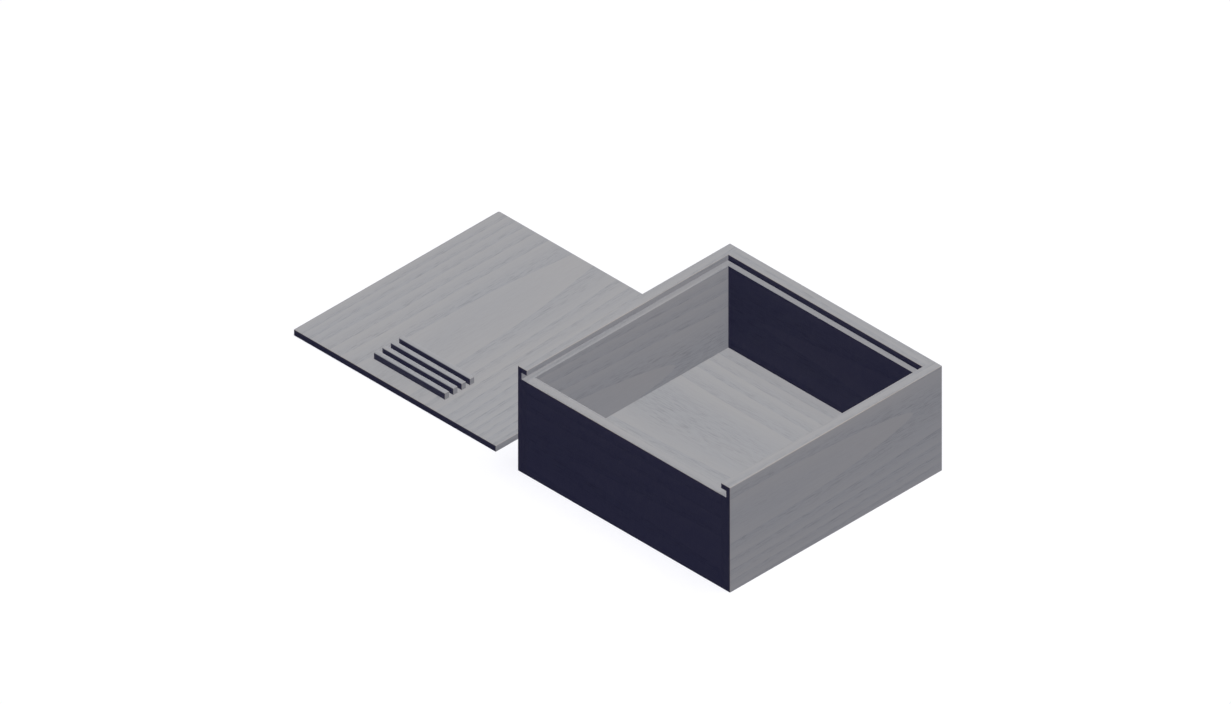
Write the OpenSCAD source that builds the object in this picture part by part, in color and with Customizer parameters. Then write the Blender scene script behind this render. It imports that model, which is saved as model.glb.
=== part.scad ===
// Square wooden box with a lid that slides in grooves and comes out at the front.
// Origin: middle of the underside of the box. Front is -Y, right is +X, up is +Z.

/* [Box] */
// Width of the box over its two side walls
box_w = 200; // [150:1:320]
// Depth of the box from its front face to its back face
box_d = 200; // [150:1:320]
// Height of the side and back walls
box_h = 85.5; // [60:0.5:140]
// Thickness of each side wall
side_t = 8.5; // [8:0.1:14]
// Thickness of the front wall
front_t = 8; // [7:0.1:14]
// Thickness of the back wall
back_t = 10; // [8:0.1:16]

/* [Bottom board] */
// Thickness of the bottom board, flush with the walls' lower edges
bottom_t = 10; // [8:0.1:16]
// Thickness of the tongue round the bottom board
tongue_t = 4; // [3:0.1:5]
// Height of the tongue's underside above the underside of the box
tongue_z = 3; // [2:0.1:3.5]
// Reach of the tongue into the walls
tongue_l = 4; // [2:0.1:4.5]
// Room for the tongue to swell into the bottom of its groove
tongue_end_gap = 0.5; // [0.2:0.05:1]
// Clearance above and below the tongue
tongue_gap = 0.05; // [0:0.01:0.2]
// Gap between the bottom board and the inner faces of the walls
board_gap = 0.25; // [0.1:0.05:0.8]

/* [Lid groove] */
// Thickness of the lip of wood left above the groove
lip_t = 4; // [3:0.1:8]
// Depth of the groove in each side wall
side_groove = 5; // [3:0.1:6]
// Depth of the groove in the back wall
back_groove = 4.5; // [3:0.1:6]

/* [Lid] */
// Thickness of the lid panel
lid_t = 5; // [4:0.1:8]
// Clearance above the lid in its groove
lid_top_gap = 0.3; // [0.15:0.05:0.8]
// Clearance between each side of the lid and the bottom of its groove
lid_side_gap = 1.3; // [0.3:0.05:2]
// Clearance behind the lid when its front edge is flush with the box
lid_back_gap = 1.1; // [0.3:0.05:2]
// Lead-in chamfer on the lid's two back corners
lid_corner = 1; // [0.5:0.1:6]
// Where the lid lies
lid_place = "beside"; // [beside:Taken off and laid beside the box, closed:Pushed home in its grooves]
// Space between the box and the lid laid beside it
beside_gap = 25.4; // [5:0.1:80]
// Distance of that lid's front edge behind the front of the box
beside_back = 4.6; // [0:0.1:40]

/* [Grip ribs] */
// Length of each grip rib
rib_l = 67; // [40:1:110]
// Width of each grip rib
rib_w = 4; // [3:0.1:6]
// Height of each grip rib above the lid
rib_h = 5; // [2:0.1:8]
// Radius along the upper edges of a grip rib
rib_round = 0.5; // [0.2:0.1:1.4]
// Spacing of the grip ribs
rib_pitch = 7.9; // [7:0.1:14]
// Distance from the lid's front edge to the first grip rib
rib_setback = 13.8; // [5:0.1:40]
// Depth to which each grip rib is let into the lid
rib_housing = 1; // [0.5:0.1:2]
// Glue gap on each side and end of a grip rib in its housing
rib_gap = 0.05; // [0:0.01:0.2]

/* [Corner dowels] */
// Diameter of the dowels that hold the front and back walls
dowel_d = 4; // [3:0.1:5]
// Length of each dowel
dowel_l = 20; // [14:0.5:30]
// Reach of each dowel into a side wall
dowel_in_side = 5; // [4:0.1:6]
// Chamfer on the ends of each dowel
dowel_chamfer = 0.5; // [0.2:0.1:1]
// Spare depth at each end of a dowel hole
dowel_end_gap = 0.5; // [0.2:0.1:1]
// Glue gap round each dowel
dowel_gap = 0.05; // [0.02:0.01:0.15]

/* [Hidden] */
DOWEL_ROWS = ["lower", "middle", "upper"];
DOWEL_CORNERS = ["front_left", "front_right", "back_left", "back_right"];
RIBS = 4;

$fn = 48;
// Overshoot that carries a cut clear of the wood
over = 1;

// Inside of the box, between the walls
inner_w = box_w - 2 * side_t;
inner_front = -box_d / 2 + front_t;
inner_back = box_d / 2 - back_t;

// The lid's groove, and the ledge that the lid runs on
groove_h = lid_t + lid_top_gap;
ledge_z = box_h - lip_t - groove_h;
groove_w = inner_w + 2 * side_groove;
groove_end = inner_back + back_groove;

// The lid, sized from the groove that it runs in
lid_w = groove_w - 2 * lid_side_gap;
lid_l = groove_end - lid_back_gap + box_d / 2;

// Dowel centres in the thickness of the front and back walls
front_dowel_y = -box_d / 2 + front_t / 2;
back_dowel_y = box_d / 2 - back_t / 2;

wall_grey = [0.63, 0.63, 0.64];
lid_grey = [0.65, 0.65, 0.66];
beech = [0.80, 0.66, 0.48];

// Height of a dowel: the rows share the wall evenly between the floor and the ledge
function dowel_z(row) = bottom_t + (row + 0.5) * (ledge_z - bottom_t) / len(DOWEL_ROWS);

// Block centred on X, from y0 to y1 and from z0 to z1
module slab(w, y0, y1, z0, z1) {
    translate([-w / 2, y0, z0]) cube([w, y1 - y0, z1 - z0]);
}

// Space that the lid runs in, open at the front and stopped inside the back wall
module lid_run() {
    slab(groove_w, -box_d / 2 - over, groove_end, ledge_z, ledge_z + groove_h);
}

// Groove for the tongue of the bottom board, all round inside the walls
module tongue_run() {
    reach = tongue_l + tongue_end_gap;
    slab(
        inner_w + 2 * reach, inner_front - reach, inner_back + reach,
        tongue_z - tongue_gap, tongue_z + tongue_t + tongue_gap
    );
}

// One dowel pin with chamfered ends, lying along X from its end in a side wall
module dowel() {
    r = dowel_d / 2;
    rotate([0, 90, 0]) rotate_extrude() polygon([
        [0, 0],
        [r - dowel_chamfer, 0],
        [r, dowel_chamfer],
        [r, dowel_l - dowel_chamfer],
        [r - dowel_chamfer, dowel_l],
        [0, dowel_l]
    ]);
}

// Hole for one dowel, with its glue gap and spare depth
module dowel_hole() {
    translate([-dowel_end_gap, 0, 0]) rotate([0, 90, 0])
        cylinder(r = dowel_d / 2 + dowel_gap, h = dowel_l + 2 * dowel_end_gap);
}

// Places its children where a dowel of the left wall starts, side = -1, or of the right wall, side = 1
module at_dowel(side, y, row) {
    start = -box_w / 2 + side_t - dowel_in_side;
    mirror([side > 0 ? 1 : 0, 0, 0]) translate([start, y, dowel_z(row)]) children();
}

// All dowel holes along one side wall, or both ends of a front or back wall
module dowel_holes(sides, ys) {
    for (side = sides, y = ys, row = [0:len(DOWEL_ROWS) - 1]) at_dowel(side, y, row) dowel_hole();
}

// Side walls run the full depth, so their front ends show the open groove as a hook
module side_wall(side) {
    color(wall_grey) difference() {
        translate([side > 0 ? inner_w / 2 : -box_w / 2, -box_d / 2, 0]) cube([side_t, box_d, box_h]);
        lid_run();
        tongue_run();
        dowel_holes([side], [front_dowel_y, back_dowel_y]);
    }
}

module left_side() { side_wall(-1); }

module right_side() { side_wall(1); }

// The front wall stops level with the groove's ledge, which lets the lid in over it
module front_wall() {
    color(wall_grey) difference() {
        slab(inner_w, -box_d / 2, inner_front, 0, ledge_z);
        tongue_run();
        dowel_holes([-1, 1], [front_dowel_y]);
    }
}

module back_wall() {
    color(wall_grey) difference() {
        slab(inner_w, inner_back, box_d / 2, 0, box_h);
        lid_run();
        tongue_run();
        dowel_holes([-1, 1], [back_dowel_y]);
    }
}

// Bottom board, held by its tongue in the grooves of the four walls
module bottom_board() {
    color(wall_grey) union() {
        slab(inner_w - 2 * board_gap, inner_front + board_gap, inner_back - board_gap, 0, bottom_t);
        slab(
            inner_w + 2 * tongue_l, inner_front - tongue_l, inner_back + tongue_l,
            tongue_z, tongue_z + tongue_t
        );
    }
}

// The lid is drawn with the middle of its front edge at the origin, then put in its place
module place_lid() {
    place = lid_place == "beside"
        ? [-box_w / 2 - beside_gap - lid_w / 2, -box_d / 2 + beside_back, 0]
        : [0, -box_d / 2, ledge_z];
    translate(place) children();
}

// Section through a grip rib: its foot stands in its housing, and its two upper edges are rounded
module rib_profile() {
    top = lid_t + rib_h;
    translate([0, lid_t - rib_housing]) square([rib_w, rib_housing + rib_h - rib_round]);
    translate([rib_round, top - 2 * rib_round]) square([rib_w - 2 * rib_round, 2 * rib_round]);
    for (y = [rib_round, rib_w - rib_round]) translate([y, top - rib_round]) circle(r = rib_round);
}

// Front face of a grip rib, behind the lid's front edge
function rib_y(i) = rib_setback + (i - 1) * rib_pitch;

module grip_rib(i) {
    color(lid_grey) place_lid() translate([-rib_l / 2, rib_y(i), 0])
        rotate([90, 0, 90]) linear_extrude(rib_l) rib_profile();
}

// Housings let into the lid for the grip ribs
module rib_housings() {
    for (i = [1:RIBS])
        slab(
            rib_l + 2 * rib_gap, rib_y(i) - rib_gap, rib_y(i) + rib_w + rib_gap,
            lid_t - rib_housing, lid_t + over
        );
}

// Lid panel, with the corners that enter the groove first taken off
module lid_panel() {
    color(lid_grey) place_lid() difference() {
        linear_extrude(lid_t) polygon([
            [-lid_w / 2, 0],
            [lid_w / 2, 0],
            [lid_w / 2, lid_l - lid_corner],
            [lid_w / 2 - lid_corner, lid_l],
            [-lid_w / 2 + lid_corner, lid_l],
            [-lid_w / 2, lid_l - lid_corner]
        ]);
        rib_housings();
    }
}

module corner_dowel(corner, row) {
    side = corner % 2 == 0 ? -1 : 1;
    y = corner < 2 ? front_dowel_y : back_dowel_y;
    color(beech) at_dowel(side, y, row) dowel();
}

left_side();
right_side();
front_wall();
back_wall();
bottom_board();
lid_panel();
for (i = [1:RIBS])
    grip_rib(i);
for (corner = [0:len(DOWEL_CORNERS) - 1], row = [0:len(DOWEL_ROWS) - 1])
    corner_dowel(corner, row);
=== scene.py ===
import math

import bmesh
import bpy
from mathutils import Euler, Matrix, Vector


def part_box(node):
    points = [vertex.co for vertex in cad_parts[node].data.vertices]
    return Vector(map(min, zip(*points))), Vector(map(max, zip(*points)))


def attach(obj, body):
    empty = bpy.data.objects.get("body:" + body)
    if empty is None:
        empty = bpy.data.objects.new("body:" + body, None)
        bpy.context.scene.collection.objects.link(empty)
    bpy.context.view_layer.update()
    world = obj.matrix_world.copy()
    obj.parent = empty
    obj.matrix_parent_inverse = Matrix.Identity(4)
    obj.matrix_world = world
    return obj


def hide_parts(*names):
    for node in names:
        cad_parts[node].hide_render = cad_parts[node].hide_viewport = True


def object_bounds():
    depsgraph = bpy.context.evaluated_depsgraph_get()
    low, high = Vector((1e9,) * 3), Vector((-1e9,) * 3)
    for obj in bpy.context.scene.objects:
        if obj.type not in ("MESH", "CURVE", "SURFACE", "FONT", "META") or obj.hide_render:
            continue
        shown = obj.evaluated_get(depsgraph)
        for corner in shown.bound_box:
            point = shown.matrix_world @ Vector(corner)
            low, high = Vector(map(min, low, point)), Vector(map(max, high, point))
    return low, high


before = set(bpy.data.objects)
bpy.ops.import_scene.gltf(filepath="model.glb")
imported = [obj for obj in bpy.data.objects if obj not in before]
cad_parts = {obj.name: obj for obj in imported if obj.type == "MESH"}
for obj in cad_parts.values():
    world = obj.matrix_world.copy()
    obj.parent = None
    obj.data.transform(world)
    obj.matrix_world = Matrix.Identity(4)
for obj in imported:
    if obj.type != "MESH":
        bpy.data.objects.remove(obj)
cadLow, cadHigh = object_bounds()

print("packed box loaded")

mm = 0.001


# Woods and their finish
# the size of a pattern is its length along the grain and its width across it

greyStain = {
    "colour": (0.341, 0.341, 0.343),
    "ringSpacing": 5.5 * mm,
    "ringRun": 3.3,  # rings wander this much more slowly along the trunk than across it
    "ringWander": 5.0,
    "ringContrast": 0.055,
    "lateWood": (0.1, 0.7),  # part of the way through a ring where its late wood comes in
    "latePores": 0.15,  # share of the pores left in the late wood
    "mottleSize": (140 * mm, 36 * mm),
    "mottleContrast": 0.05,
    "fibreSize": (70 * mm, 1.6 * mm),
    "fibreContrast": 0.09,
    "poreSize": (11 * mm, 0.4 * mm),
    "poreEdge": (0.38, 0.46),  # noise from the bottom of a pore to its rim
    "poreContrast": 0.17,
    "rubbedContrast": 0.12,  # how much lighter the stain is on the eased edges
    "endStain": 0.06,  # how much darker the stain is on end grain
    "warmth": (0.050, 0.004, -0.055),  # shift of colour where the stain is thin and the wood shows through
    "ringWarmth": 0.15,  # share of that shift between early and late wood
    "mottleWarmth": 0.25,
    "rubbedWarmth": 1.0,
    "roughness": 0.60,
    "roughnessContrast": 0.18,
    "gloss": 0.10,
    "reliefStrength": 0.35,
    "reliefHeight": 0.06 * mm,
    "poreDepth": 0.8,
}

bareBeech = {
    **greyStain,
    "colour": (0.55, 0.36, 0.19),
    "ringSpacing": 2.5 * mm,
    "ringWander": 3.0,
    "ringContrast": 0.08,
    "latePores": 0.8,
    "mottleContrast": 0.06,
    "fibreContrast": 0.12,
    "poreSize": (4 * mm, 0.4 * mm),
    "poreContrast": 0.25,
    "rubbedContrast": 0.0,
    "endStain": 0.0,
    "rubbedWarmth": 0.0,
    "roughness": 0.55,
    "gloss": 0.3,
    "reliefStrength": 0.3,
}

ringWobble = {"Detail": 2.0, "Detail Scale": 0.12, "Detail Roughness": 0.45}
waveTurn = 20  # radians that the wave texture turns over one unit at a scale of 1


def addNode(tree, kind, settings=None, inputs=None):
    made = tree.nodes.new(kind)
    for key, value in (settings or {}).items():
        setattr(made, key, value)
    for key, value in (inputs or {}).items():
        if isinstance(value, bpy.types.NodeSocket):
            tree.links.new(value, made.inputs[key])
        else:
            made.inputs[key].default_value = value
    return made


def compute(tree, operation, *values):
    inputs = dict(enumerate(values))
    return addNode(tree, "ShaderNodeMath", {"operation": operation}, inputs).outputs[0]


def vary(tree, value, pattern, contrast):
    # raises and lowers a value by a pattern that runs from 0 to 1
    steps = compute(tree, "SUBTRACT", pattern, 0.5)
    return compute(tree, "MULTIPLY_ADD", steps, contrast, value)


def fade(tree, value, start, end, low):
    # 1 up to the start, then smoothly down to the low value at the end
    inputs = {"Value": value, "From Min": start, "From Max": end, "To Min": 1.0, "To Max": low}
    return addNode(tree, "ShaderNodeMapRange", {"interpolation_type": "SMOOTHSTEP"}, inputs).outputs[0]


def stretched(tree, log, size):
    along, across = size
    inputs = {0: log, 1: (1 / along, 1 / across, 1 / across)}
    return addNode(tree, "ShaderNodeVectorMath", {"operation": "MULTIPLY"}, inputs).outputs[0]


def grainNoise(tree, log, size, detail, roughness):
    inputs = {"Vector": stretched(tree, log, size), "Scale": 1.0, "Detail": detail, "Roughness": roughness}
    return addNode(tree, "ShaderNodeTexNoise", None, inputs).outputs["Fac"]


def growthRings(tree, log, wood):
    # from 0 in the early wood to 1 in the late wood of each ring
    inputs = {
        "Vector": stretched(tree, log, (wood["ringRun"], 1.0)),
        "Scale": math.tau / waveTurn / wood["ringSpacing"],
        "Distortion": wood["ringWander"],
        **ringWobble,
    }
    settings = {"wave_type": "RINGS", "rings_direction": "X", "wave_profile": "SAW"}
    return addNode(tree, "ShaderNodeTexWave", settings, inputs).outputs["Fac"]


def faceMark(tree, name):
    return addNode(tree, "ShaderNodeAttribute", {"attribute_name": name}).outputs["Fac"]


def middleOf(node):
    low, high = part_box(node)
    return (low + high) / 2


def grainTurn(grain):
    return Euler([math.radians(angle) for angle in grain["turn"]])


def placeInLog(tree, node, grain):
    # X runs along the trunk, from the middle of the tree
    place = addNode(tree, "ShaderNodeTexCoord").outputs["Object"]
    heart = middleOf(node) + Vector(grain["heart"]) * mm
    inputs = {"Vector": place, "Location": heart, "Rotation": grainTurn(grain)}
    return addNode(tree, "ShaderNodeMapping", {"vector_type": "TEXTURE"}, inputs).outputs["Vector"]


def makeWood(name, wood, node, grain):
    # solid wood: growth rings about the tree's heart, so faces show streaks and ends show arcs
    material = bpy.data.materials.new(name)
    material.use_nodes = True
    tree = material.node_tree
    shader = tree.nodes["Principled BSDF"]

    log = placeInLog(tree, node, grain)
    rings = growthRings(tree, log, wood)
    mottle = grainNoise(tree, log, wood["mottleSize"], detail=2.0, roughness=0.5)
    fibre = grainNoise(tree, log, wood["fibreSize"], detail=4.0, roughness=0.62)
    dots = grainNoise(tree, log, wood["poreSize"], detail=1.0, roughness=0.5)
    earlyWood = fade(tree, rings, *wood["lateWood"], wood["latePores"])
    pores = compute(tree, "MULTIPLY", fade(tree, dots, *wood["poreEdge"], 0.0), earlyWood)
    worn = compute(tree, "MULTIPLY", faceMark(tree, "rubbed"), mottle)

    tone = vary(tree, 1.0 + grain["tone"], rings, wood["ringContrast"])
    tone = vary(tree, tone, mottle, wood["mottleContrast"])
    tone = vary(tree, tone, fibre, wood["fibreContrast"])
    tone = compute(tree, "MULTIPLY_ADD", pores, -wood["poreContrast"], tone)
    tone = compute(tree, "MULTIPLY_ADD", worn, wood["rubbedContrast"], tone)
    tone = compute(tree, "MULTIPLY_ADD", faceMark(tree, "endGrain"), -wood["endStain"], tone)

    warm = compute(tree, "MULTIPLY", worn, wood["rubbedWarmth"])
    warm = vary(tree, warm, rings, wood["ringWarmth"])
    warm = vary(tree, warm, mottle, wood["mottleWarmth"])
    inputs = {0: warm, 1: wood["warmth"], 2: wood["colour"]}
    hue = addNode(tree, "ShaderNodeVectorMath", {"operation": "MULTIPLY_ADD"}, inputs).outputs[0]
    inputs = {0: hue, "Scale": tone}
    colour = addNode(tree, "ShaderNodeVectorMath", {"operation": "SCALE"}, inputs).outputs[0]
    tree.links.new(colour, shader.inputs["Base Color"])

    roughness = vary(tree, wood["roughness"], fibre, wood["roughnessContrast"])
    tree.links.new(roughness, shader.inputs["Roughness"])
    shader.inputs["Specular IOR Level"].default_value = wood["gloss"]

    relief = vary(tree, fibre, pores, -wood["poreDepth"])
    inputs = {"Height": relief, "Strength": wood["reliefStrength"], "Distance": wood["reliefHeight"]}
    bump = addNode(tree, "ShaderNodeBump", None, inputs).outputs["Normal"]
    tree.links.new(bump, shader.inputs["Normal"])
    return material


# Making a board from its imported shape

weld = 0.001 * mm
onSide = 0.01 * mm  # an edge this near to a side of the board lies along it
touching = 0.1 * mm  # boards this near to each other touch
flatAngle = math.radians(0.5)
sharpAngle = math.radians(30)
crispAngle = math.radians(40)
easeSteps = 3


def joinedCopy(node):
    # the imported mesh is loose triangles, so its copy is joined up and its flats made whole
    bm = bmesh.new()
    bm.from_mesh(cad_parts[node].data)
    bmesh.ops.remove_doubles(bm, verts=bm.verts, dist=weld)
    bmesh.ops.dissolve_limit(bm, angle_limit=flatAngle, verts=bm.verts, edges=bm.edges)
    return bm


def scoreAcross(bm, axis, at):
    # a line round the board where a neighbour starts, so that an eased arris can stop there
    normal = Vector((0, 0, 0))
    normal[axis] = 1
    everything = bm.verts[:] + bm.edges[:] + bm.faces[:]
    bmesh.ops.bisect_plane(bm, geom=everything, dist=weld, plane_co=normal * at, plane_no=normal)


def liesIn(point, box):
    low, high = box
    return all(low[i] - touching < point[i] < high[i] + touching for i in range(3))


def outerSides(edge, box):
    # how many outer sides of the board the edge lies along: two on a corner of its outline
    ends = [vert.co for vert in edge.verts]
    sides = [(i, face[i]) for i in range(3) for face in box]
    return sum(1 for i, at in sides if all(abs(end[i] - at) < onSide for end in ends))


def openArrises(bm, board):
    # convex edges that no other board lies against
    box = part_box(board["node"])
    neighbours = [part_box(node) for node in board["against"]]
    found = []
    for edge in bm.edges:
        if not edge.is_manifold or edge.calc_face_angle_signed(0) < sharpAngle:
            continue
        middle = (edge.verts[0].co + edge.verts[1].co) / 2
        if any(liesIn(middle, neighbour) for neighbour in neighbours):
            continue
        if board["cornersOnly"] and outerSides(edge, box) < 2:
            continue
        found.append(edge)
    return found


def easeArrises(bm, board):
    rubbed = bm.faces.layers.float.new("rubbed")
    eased = bmesh.ops.bevel(
        bm, geom=openArrises(bm, board), offset=board["ease"], offset_type="OFFSET", affect="EDGES",
        segments=easeSteps, profile=0.5, material=-1, clamp_overlap=True,
    )
    for face in eased["faces"]:
        face[rubbed] = 1.0


def shadeFaces(bm, board):
    # soft over the eased arrises, crisp elsewhere, and marked where the fibres end
    endGrain = bm.faces.layers.float.new("endGrain")
    fibres = Vector((1, 0, 0))
    fibres.rotate(grainTurn(board["grain"]))
    for face in bm.faces:
        face.smooth = True
        face[endGrain] = abs(face.normal.dot(fibres))
    for edge in bm.edges:
        edge.smooth = edge.calc_face_angle(math.pi) < crispAngle


def makeBoard(board, material):
    bm = joinedCopy(board["node"])
    for axis, at in board["stops"]:
        scoreAcross(bm, axis, at)
    easeArrises(bm, board)
    shadeFaces(bm, board)
    mesh = bpy.data.meshes.new(board["name"])
    bm.to_mesh(mesh)
    bm.free()
    mesh.materials.append(material)
    piece = bpy.data.objects.new(board["name"], mesh)
    bpy.context.scene.collection.objects.link(piece)
    shading = piece.modifiers.new("evenShading", "WEIGHTED_NORMAL")
    shading.keep_sharp = True
    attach(piece, board["body"])
    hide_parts(board["node"])


# The box: two long sides, a low front, a back and the bottom board
# heart is the middle of the tree, in mm from the middle of the board, and turn is in degrees
# cornersOnly eases the corners of a board's outline and leaves its grooves crisp

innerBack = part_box("back_wall")[0].y
wall = {"body": "box", "slot": "box_wood", "ease": 0.3 * mm, "cornersOnly": True, "stops": []}

leftSide = {
    **wall, "node": "left_side", "name": "leftSide", "stops": [(1, innerBack)],
    "against": ["front_wall", "back_wall", "bottom_board"],
    "grain": {"heart": (-54, 0, -23), "turn": (0, 0.8, 90.9), "tone": 0.014},
}
rightSide = {
    **wall, "node": "right_side", "name": "rightSide", "stops": [(1, innerBack)],
    "against": ["front_wall", "back_wall", "bottom_board"],
    "grain": {"heart": (59, 30, 17), "turn": (0, -0.9, 89.0), "tone": 0.006},
}
frontWall = {
    **wall, "node": "front_wall", "name": "frontWall",
    "against": ["left_side", "right_side", "bottom_board"],
    "grain": {"heart": (20, -59, -8), "turn": (0, 0.7, 0.9), "tone": 0.010},
}
backWall = {
    **wall, "node": "back_wall", "name": "backWall",
    "against": ["left_side", "right_side", "bottom_board"],
    "grain": {"heart": (-30, 65, 2), "turn": (0, -0.6, -1.0), "tone": -0.002},
}
bottomBoard = {
    "body": "box", "slot": "box_wood", "ease": 0.2 * mm, "cornersOnly": False, "stops": [],
    "node": "bottom_board", "name": "bottomBoard",
    "against": ["left_side", "right_side", "front_wall", "back_wall"],
    # its tone of 0.02 is painted light: the board is made lighter to offset the shade the walls cast on the
    # floor inside the box
    "grain": {"heart": (0, 16, -90), "turn": (0, 0.7, 1.2), "tone": 0.02},
}
for board in (leftSide, rightSide, frontWall, backWall, bottomBoard):
    makeBoard(board, makeWood(board["name"] + "Wood", greyStain, board["node"], board["grain"]))
print("box boards made")


# The lid and its grip ribs, which are cut from one strip

ribNodes = ["grip_rib_1", "grip_rib_2", "grip_rib_3", "grip_rib_4"]
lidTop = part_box("lid_panel")[1].z

lidPanel = {
    "body": "lid", "slot": "lid_wood", "ease": 0.3 * mm, "cornersOnly": False, "stops": [],
    "node": "lid_panel", "name": "lidPanel", "against": ribNodes,
    "grain": {"heart": (-14, -1, -72), "turn": (0, 0.9, 91.1), "tone": 0.0},
}
gripRib = {
    "body": "lid", "slot": "lid_wood", "ease": 0.2 * mm, "cornersOnly": False, "stops": [(2, lidTop)],
    "against": ["lid_panel"],
    "grain": {"heart": (0, 5, -47), "turn": (0, 0.6, 0.8), "tone": 0.008},
}
makeBoard(lidPanel, makeWood("lidPanelWood", greyStain, lidPanel["node"], lidPanel["grain"]))
ribWood = makeWood("gripRibWood", greyStain, ribNodes[0], gripRib["grain"])
for number, node in enumerate(ribNodes, 1):
    makeBoard({**gripRib, "node": node, "name": "gripRib%d" % number}, ribWood)
print("lid and grip ribs made")


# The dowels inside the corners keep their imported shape, and their heart is set from the bottom board

dowels = {"slot": "dowel_wood", "grain": {"heart": (0, 13, 45), "turn": (0, 0, 0), "tone": 0.0}}
dowelBeech = makeWood("dowelBeech", bareBeech, "bottom_board", dowels["grain"])
for node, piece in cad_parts.items():
    if node.startswith("dowel_"):
        piece.data.materials.clear()
        piece.data.materials.append(dowelBeech)
print("dowels finished")


# Camera: a true isometric view without perspective
# the picture is centred on the box and its lid, at 1.5 pixels for each mm across the view

picture = {
    "width": 1231,
    "pixelsPerMm": 1.5,
    "from": (1, -1, 1),
    "away": 2.0,
    "nearest": 0.05,
    "farthest": 20.0,
}


def makeCamera():
    lens = bpy.data.cameras.new("isometricCamera")
    lens.type = "ORTHO"
    lens.ortho_scale = picture["width"] / picture["pixelsPerMm"] * mm
    lens.clip_start = picture["nearest"]
    lens.clip_end = picture["farthest"]
    camera = bpy.data.objects.new("isometricCamera", lens)
    bpy.context.scene.collection.objects.link(camera)
    back = Vector(picture["from"]).normalized()
    camera.location = (cadLow + cadHigh) / 2 + back * picture["away"]
    camera.rotation_euler = back.to_track_quat("Z", "Y").to_euler()
    bpy.context.scene.camera = camera


# Studio: white paper floor, one soft lamp that casts the shadows, and fills that cast none
# a lamp's level of 1 shows a colour as written on a surface that faces the lamp

lamps = {
    "softKey": {
        "from": (0.25, 0.10, 1.0), "level": 0.13, "tint": (1, 1, 0.92), "softness": 22, "shadow": True,
    },
    "topFill": {
        "from": (0.0, 0.0, 1.0), "level": 0.207, "tint": (1, 1, 0.92), "softness": 2, "shadow": False,
    },
    "sideFill": {
        "from": (1.0, 0.0, 1.02), "level": 0.812, "tint": (1, 1, 1.10), "softness": 2, "shadow": False,
    },
    "frontFill": {
        "from": (0.0, -1.0, 0.0), "level": 0.065, "tint": (0.2, 0.2, 1), "softness": 2, "shadow": False,
    },
    "rearFill": {
        "from": (-0.55, 0.83, 0.10), "level": 0.50, "tint": (1, 1, 1.10), "softness": 2, "shadow": False,
    },
}
lampDistance = 1.5

room = {
    "sky": (0.024, 0.024, 0.030, 1),
    "white": (1, 1, 1, 1),
    "paper": (0.80, 0.80, 0.80, 1),
    "paperGlow": 0.222,
    "paperAway": (0.018, 0.018, 0.020, 1),
    "paperSize": 12.0,
    "paperDrop": 0.05 * mm,
}


def makeLamp(name, lamp):
    light = bpy.data.lights.new(name, "SUN")
    light.energy = math.pi * lamp["level"]
    light.color = lamp["tint"]
    light.angle = math.radians(lamp["softness"])
    light.use_shadow = lamp["shadow"]
    if not lamp["shadow"]:
        light.cycles.max_bounces = 0  # a fill only brightens what it faces
    placed = bpy.data.objects.new(name, light)
    bpy.context.scene.collection.objects.link(placed)
    placed.rotation_euler = Vector(lamp["from"]).to_track_quat("Z", "Y").to_euler()
    placed.location = Vector(lamp["from"]) * lampDistance


def seenDirectly(tree):
    # 1 for what the camera sees, also in a reflection or through glass
    path = addNode(tree, "ShaderNodeLightPath")
    either = compute(tree, "MAXIMUM", path.outputs["Is Camera Ray"], path.outputs["Is Glossy Ray"])
    return compute(tree, "MAXIMUM", either, path.outputs["Is Transmission Ray"])


def makeRoom():
    # a dim sky lights the box, and the camera sees white
    world = bpy.data.worlds.new("studio")
    bpy.context.scene.world = world
    world.use_nodes = True
    tree = world.node_tree
    tree.nodes.clear()
    dim = addNode(tree, "ShaderNodeBackground", None, {"Color": room["sky"], "Strength": 1.0})
    white = addNode(tree, "ShaderNodeBackground", None, {"Color": room["white"], "Strength": 1.0})
    shown = {0: seenDirectly(tree), 1: dim.outputs[0], 2: white.outputs[0]}
    mixed = addNode(tree, "ShaderNodeMixShader", None, shown)
    addNode(tree, "ShaderNodeOutputWorld", None, {"Surface": mixed.outputs[0]})


def makePaper():
    # pale paper that keeps the shadow, and throws little light back up
    material = bpy.data.materials.new("paper")
    material.use_nodes = True
    tree = material.node_tree
    tree.nodes.clear()
    away = addNode(tree, "ShaderNodeBsdfDiffuse", None, {"Color": room["paperAway"]})
    pale = addNode(tree, "ShaderNodeBsdfDiffuse", None, {"Color": room["paper"]})
    glow = addNode(tree, "ShaderNodeEmission", None, {"Color": room["white"], "Strength": room["paperGlow"]})
    lit = addNode(tree, "ShaderNodeAddShader", None, {0: pale.outputs[0], 1: glow.outputs[0]})
    shown = {0: seenDirectly(tree), 1: away.outputs[0], 2: lit.outputs[0]}
    mixed = addNode(tree, "ShaderNodeMixShader", None, shown)
    addNode(tree, "ShaderNodeOutputMaterial", None, {"Surface": mixed.outputs[0]})
    return material


def makeFloor():
    bm = bmesh.new()
    bmesh.ops.create_grid(bm, x_segments=1, y_segments=1, size=room["paperSize"] / 2)
    bmesh.ops.translate(bm, verts=bm.verts, vec=(0, 0, -room["paperDrop"]))
    mesh = bpy.data.meshes.new("paperFloor")
    bm.to_mesh(mesh)
    bm.free()
    mesh.materials.append(makePaper())
    floor = bpy.data.objects.new("paperFloor", mesh)
    bpy.context.scene.collection.objects.link(floor)


makeCamera()
makeRoom()
makeFloor()
for name, lamp in lamps.items():
    makeLamp(name, lamp)
bpy.context.scene.view_settings.view_transform = "Standard"
print("camera and studio ready")
